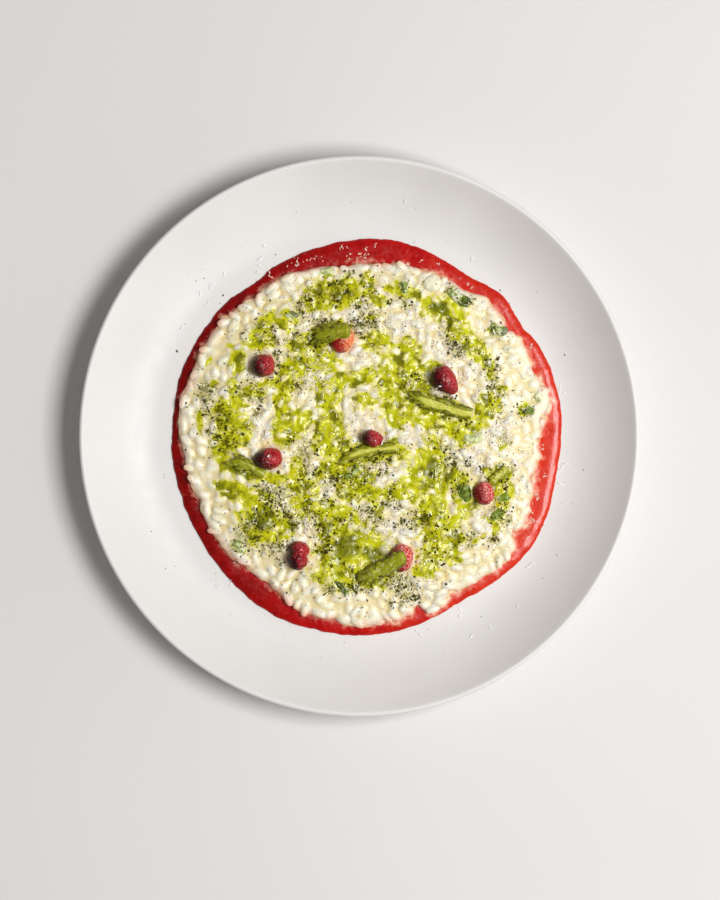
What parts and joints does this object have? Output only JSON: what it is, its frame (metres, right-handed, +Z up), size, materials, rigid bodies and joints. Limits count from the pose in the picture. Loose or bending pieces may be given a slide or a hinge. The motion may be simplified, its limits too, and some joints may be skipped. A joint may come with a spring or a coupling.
{
  "type": "plated asparagus risotto",
  "caption": "Coupe plate with a flat round of creamy risotto on a ring of red sauce, topped with wild berries, halved asparagus tips and cut asparagus stems.",
  "frame": {"origin": "centre of the plate's foot, on the surface it stands on", "axes": "+Z up out of the plate; +X and +Y in the table plane, with the picture's right at +X and its top at +Y"},
  "size_m": [0.2798, 0.2798, 0.027],
  "materials": {
    "porcelain": "satin white glaze",
    "red_sauce": "glossy smooth red sauce",
    "rice": "creamy cooked rice, moist",
    "berry": "moist berry skin with fine seeds",
    "asparagus": "blanched asparagus, pale cut faces",
    "cheese": "finely grated hard cheese",
    "herb_oil": "bright green oil",
    "herb": "dark green ground herb"
  },
  "bodies": {
    "root": {"plate": "porcelain", "sauce": "red_sauce", "risotto": "rice", "berry_1": "berry", "berry_2": "berry", "berry_3": "berry", "berry_4": "berry", "berry_5": "berry", "berry_6": "berry", "berry_7": "berry", "berry_8": "berry", "asparagus_tip_1": "asparagus", "asparagus_tip_2": "asparagus", "asparagus_tip_3": "asparagus", "asparagus_tip_4": "asparagus", "asparagus_tip_5": "asparagus", "asparagus_tip_6": "asparagus", "asparagus_stem_01": "asparagus", "asparagus_stem_02": "asparagus", "asparagus_stem_03": "asparagus", "asparagus_stem_04": "asparagus", "asparagus_stem_05": "asparagus", "asparagus_stem_06": "asparagus", "asparagus_stem_07": "asparagus", "asparagus_stem_08": "asparagus", "asparagus_stem_09": "asparagus", "asparagus_stem_10": "asparagus", "asparagus_stem_11": "asparagus", "asparagus_stem_12": "asparagus", "asparagus_stem_13": "asparagus", "asparagus_stem_14": "asparagus", "asparagus_stem_15": "asparagus"}
  },
  "joints": []
}
